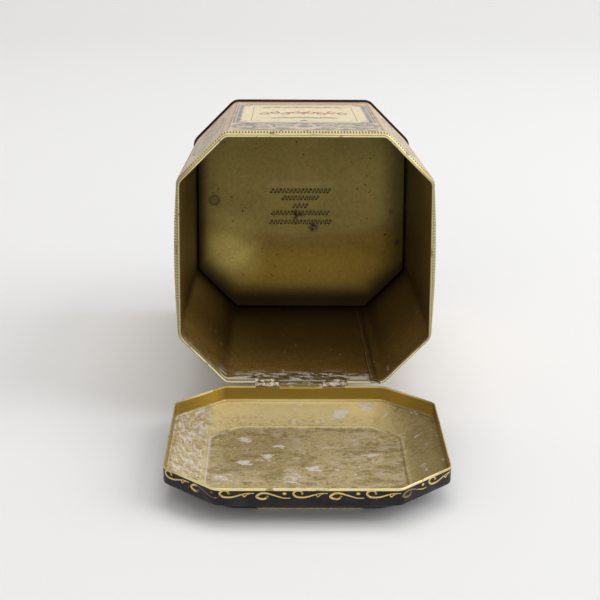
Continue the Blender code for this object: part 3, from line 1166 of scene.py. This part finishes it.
def wave_down(ink, s, wide):
    """Closed curl whose top line falls away to the right under a dot."""
    path = curve([
        (4.2, 1.6), (3.4, 0.8), (1.8, 0.7), (0.3, 1.6), (2.0, 2.85),
        (4.3, 2.8), (7.2, 1.9), (10.0, 1.05), (12.5, 1.0),
    ])
    ink.pen(path * (wide, 1) + (s, 0), 0.85, 0.85, 0.35, 0.4)
    ink.dot(s + 4.1 * wide, 1.5, 0.5, 0.42)
    ink.dot(s + 10.4 * wide, 2.75, 0.72, 0.5)


def print_lid(matrix, gold, line):
    """Running wave round the skirt, a border and rosette on the panel."""
    wrap = Wrap(LID_INSET - INK_LIFT, False)
    waves = Print()
    corner_pitch = (wrap.total / 4 - 5 * WAVE_PITCH) / 2
    pitches = ([WAVE_PITCH] * 5 + [corner_pitch] * 2) * 4
    s = WAVE_START
    for k, pitch in enumerate(pitches):
        draw = wave_down if k % 2 else wave_up
        draw(waves, s, pitch / WAVE_PITCH)
        s += pitch
    waves.lay("lid_scrolls", wrap, gold, matrix, "lid", "lid_tinplate")
    panel = Print()
    for inset, width in ((1.5, 0.25), (2.4, 0.5)):
        panel.stroke(outline(PANEL_INSET + inset, 3.0), width, closed=True)
    for side in range(8):
        print_petals(panel, side * math.tau / 8)
    panel.dot(0, MIDDLE, 4.0)
    panel.lay("lid_panel_print", Plate(PANEL_A - INK_LIFT), gold, matrix, "lid", "lid_tinplate")
    build_foot_line(matrix, line)


def print_petals(panel, turn):
    """One pair of the rosette's curls, at a turn round its centre."""
    for flip in (1, -1):
        x, y = (spiral(0, 0, 6.0, 1.4, 0.4, flip) + (13.5, flip * 2.6)).T
        x, y = x * math.cos(turn) - y * math.sin(turn), x * math.sin(turn) + y * math.cos(turn)
        panel.pen(np.stack([x, y + MIDDLE], 1), 0.9)


def build_foot_line(matrix, line):
    """Worn gold line along the front fold of the lid's panel."""
    x = np.linspace(*FOOT_LINE, 30)
    flat = np.ones(len(x))
    rows = [
        np.stack([x, flat * (PANEL_A + up), flat * (DEPTH - PANEL_FOLD + back)], 1)
        for back, up in ((1.35, 0.78), (1.25, 0.12), (0.35, 0.12))
    ]
    obj = add_object("lid_foot_line", np.concatenate(rows), grid(3, len(x)), [line], smooth=False)
    stand(obj, matrix, "lid")


def wide_panel(sheets, s):
    """Printed side: cartouche, borders and scrolls; s is its middle."""
    pale, blue, red, green, peach = sheets
    pale.sheet((s - 25.5, s + 25.5), (46, 134))
    pale.sheet((s - 28, s - 25.5), (54, 126))
    pale.sheet((s + 25.5, s + 28), (54, 126))
    peach.frame((s - 33.2, s + 33.2), (10.5, 151), 0.8)
    for half, low, high, width in ((29.4, 42, 139, 1.5), (31.2, 40, 142, 0.6)):
        blue.frame((s - half, s + half), (low, high), width, 4.0)
    green.frame((s - 23.5, s + 23.5), (50, 130), 0.35, 3.0)
    blue.frame((s - 32.4, s + 32.4), (12.5, 149), 0.6)
    flourish(red, s, 90, 22, 17.0)
    flourish(green, s, 122, 21, 7.0)
    flourish(green, s, 66, 16, 6.5)
    red.dot(s, 53, 1.6, 3.0)
    blue.dot(s, 27, 3.4, 5.0)
    blue.dot(s, 36, 1.8, 3.0)
    for flip in (1, -1):
        vine(blue, s, flip)


def flourish(ink, s, a, reach, height):
    """Row of curling pen marks, the same both ways."""
    for flip in (1, -1):
        path = curve([
            (0, 0), (reach * 0.22, height * 0.3), (reach * 0.42, -height * 0.12),
            (reach * 0.68, height * 0.1), (reach * 0.98, -height * 0.02),
        ], 8)
        ink.pen(path * (flip, 1) + (s, a), 1.8, 0.9, 0.35)
        radius = min(2.6, height * 0.36)
        turn = (radius, 1.25, math.pi / 2, height * 0.42 / radius)
        for k, part in enumerate((0.17, 0.4, 0.62, 0.84)):
            ink.curl((s, a + height * 0.16 * (-1) ** k), reach * part, flip, turn, 1.35, 0.9, 0.5)
    ink.dot(s, a, 1.2, height * 0.4)


def vine(ink, s, flip):
    """Scrolls that fill one half of the field round the cartouche."""
    stem = curve([(4, 36), (12, 42), (20, 34), (27, 40), (30.5, 26), (24, 16), (14, 13), (4, 16)], 8)
    ink.pen(stem * (flip, 1) + (s, 0), 2.4, 0.6, 0.5, 0.5)
    for x, a, radius, start in (
        (9, 30, 5.0, 0.3), (18, 26, 5.6, 2.4), (26, 31, 4.4, 0.9), (9, 18.5, 3.8, 3.6), (24, 19.5, 3.6, 5.2),
    ):
        ink.curl((s, a), x, flip, (radius, 1.5, start, 1.0), 1.9, 0.6, 0.6)
    for x, a in ((14, 34), (22, 38), (29.5, 22), (17, 14.5), (5.0, 14.5), (4.5, 39)):
        ink.dot(s + flip * x, a, 1.4, 2.6)
    for k, a in enumerate(range(46, 131, 12)):
        ink.curl((s, a), 30.6, flip, (2.2, 1.1, 0.6 + k, 1.9), 1.2, 0.7, 0.6)


def narrow_panel(sheets, s):
    """Printed corner side: tall oval with a vine in it."""
    pale, blue, red, green, peach = sheets
    peach.frame((s - 12.2, s + 12.2), (10.5, 151), 0.7)
    t = np.arange(64) * math.tau / 64
    for grow, width in ((1.0, 0.8), (0.88, 0.35)):
        oval = np.stack([s + 9.6 * grow * np.cos(t), 82 + 50 * grow * np.sin(t)], 1)
        blue.stroke(oval, width, closed=True)
    stem = curve([(0, 42), (3.5, 58), (-3.5, 74), (3.5, 90), (-3.5, 106), (0, 122)], 10)
    green.pen(stem + (s, 0), 0.9, 0.6, 0.6, 0.5)
    for k, a in enumerate((52, 66, 82, 98, 112)):
        red.curl((s, a), 3.4, 1 if k % 2 else -1, (3.6, 1.2, 0.4, 1.0), 0.9, 0.6, 0.5)
    for a in (18, 25, 139, 145):
        blue.dot(s, a, 2.4, 1.6)


def print_body(matrix, materials):
    """Lithographed decoration of the eight sides, a layer to each ink."""
    names = ("pale", "blue", "red", "green", "peach")
    sheets = tuple(Print() for _ in names)
    ground = Wrap(0, True)
    for side in range(8):
        draw = narrow_panel if side % 2 else wide_panel
        draw(sheets, ground.middle(side))
    for level, (name, sheet, material) in enumerate(zip(names, sheets, materials)):
        wrap = Wrap(-INK_LIFT - INK_LAYER * level, True)
        sheet.points = [(s * wrap.total / ground.total, t) for s, t in sheet.points]
        sheet.lay("print_" + name, wrap, material, matrix, "body", "printed_tinplate")


# Stage


def build_floor():
    """Seamless pale floor that curves up behind the tin."""
    bend_y = BACKDROP_Y - BACKDROP_BEND
    path = [(-FLOOR_REACH, 0.0), (bend_y, 0.0)]
    for t in np.linspace(0, math.pi / 2, 17)[1:]:
        path.append((bend_y + BACKDROP_BEND * math.sin(t), BACKDROP_BEND - BACKDROP_BEND * math.cos(t)))
    path.append((BACKDROP_Y, FLOOR_REACH))
    points = [(x / MM, y / MM, z / MM - 0.2) for y, z in path for x in (-FLOOR_REACH, FLOOR_REACH)]
    paint = Nodes("studio_floor").finish(FLOOR_COLOUR, 0.9, specular=0.1)
    add_object("studio_floor", points, grid(len(path), 2), [paint])


def add_area_light(name, place, target, size, power, colour):
    data = bpy.data.lights.new(name, "AREA")
    data.shape = "RECTANGLE"
    data.size, data.size_y = size
    data.energy = power
    data.color = colour
    light = bpy.data.objects.new(name, data)
    light.location = place
    aim = Vector(target) - Vector(place)
    light.rotation_euler = aim.to_track_quat("-Z", "Y").to_euler()
    bpy.context.scene.collection.objects.link(light)


def add_lights():
    world = bpy.data.worlds.new("studio")
    world.use_nodes = True
    background = world.node_tree.nodes["Background"]
    background.inputs["Color"].default_value = (*WORLD_COLOUR, 1)
    background.inputs["Strength"].default_value = WORLD_STRENGTH
    bpy.context.scene.world = world
    for light in LIGHTS:
        add_area_light(*light)


def add_camera():
    azimuth = math.radians(CAMERA_AZIMUTH)
    elevation = math.radians(CAMERA_ELEVATION)
    forward = Vector((
        math.sin(azimuth) * math.cos(elevation),
        math.cos(azimuth) * math.cos(elevation),
        -math.sin(elevation),
    ))
    data = bpy.data.cameras.new("camera")
    data.lens = CAMERA_LENS
    data.sensor_width = 36
    data.clip_start = 0.01
    camera = bpy.data.objects.new("camera", data)
    camera.location = Vector(CAMERA_AIM) * MM - forward * CAMERA_DISTANCE * MM
    look = forward.to_track_quat("-Z", "Y")
    camera.rotation_euler = (look.to_matrix() @ Matrix.Rotation(math.radians(CAMERA_ROLL), 3, "Z")).to_euler()
    bpy.context.scene.collection.objects.link(camera)
    bpy.context.scene.camera = camera


def hinge_matrices(joint):
    """Row-frame matrices of the body, on its back, and of the open lid."""
    hinge = Vector(joint["pos_m"])
    hinge.x = 0
    closed = math.radians(joint["range_deg"][0])
    shift = Matrix.Translation((0, -AXIS_A * MM, -AXIS_V * MM))
    return [
        Matrix.Translation(hinge) @ Matrix.Rotation(turn + math.pi / 2, 4, "X") @ shift
        for turn in (closed, 0)
    ]


def main():
    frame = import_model()
    body_matrix, lid_matrix = hinge_matrices(frame["joints"][0])

    rim = rim_metal("rim_gold", RIM_GOLD)
    # the lip's pale crest is a painted highlight; rim_shade below is painted shade
    lip = rim_metal("lip_crest_highlight", RIM_PALE)
    inside = lacquer_inside()
    dark = plain("tarnish", TARNISH, 0.6)
    shade = plain("rim_shade", RIM_SHADE, 0.5, 0.4)
    build_body(body_matrix, [litho_print(), inside, rim, lip, shade])
    build_lap(body_matrix, inside, dark)
    build_base(body_matrix, japan_black("base_black"), lacquer_floor())
    # painted light: studs a lighter olive than the floor they are pressed from
    olive = plain("stud_lit_olive", STUD_LIT_OLIVE, 0.35, 0.7)
    # the studs stand over rings of painted shadow
    build_studs(body_matrix, olive, plain("stud_shadow", STUD_SHADOW, 0.6))
    lid_gold = lid_inside()
    build_lid(lid_matrix, japan_black("lid_black"), lid_gold, rim)
    build_hinge(body_matrix, lid_matrix, hinge_lacquer(), lid_gold)
    wire = frame["nodes"]["hinge_wire"]
    wire.data.materials.clear()
    wire.data.materials.append(plain("wire_steel", WIRE_STEEL, 0.4, 0.9))

    print_lid(lid_matrix, gold_ink(), plain("faded_line", FADED_LINE, 0.5, 0.1))
    inks = [ink("ink_pale", LITHO_PALE, 0.4), ink("ink_blue", LITHO_BLUE), ink("ink_red", LITHO_RED)]
    inks += [ink("ink_green", LITHO_GREEN), ink("ink_peach", LITHO_PEACH)]
    print_body(body_matrix, inks)

    build_floor()
    add_lights()
    add_camera()
    bpy.context.scene.view_settings.view_transform = "Standard"


main()
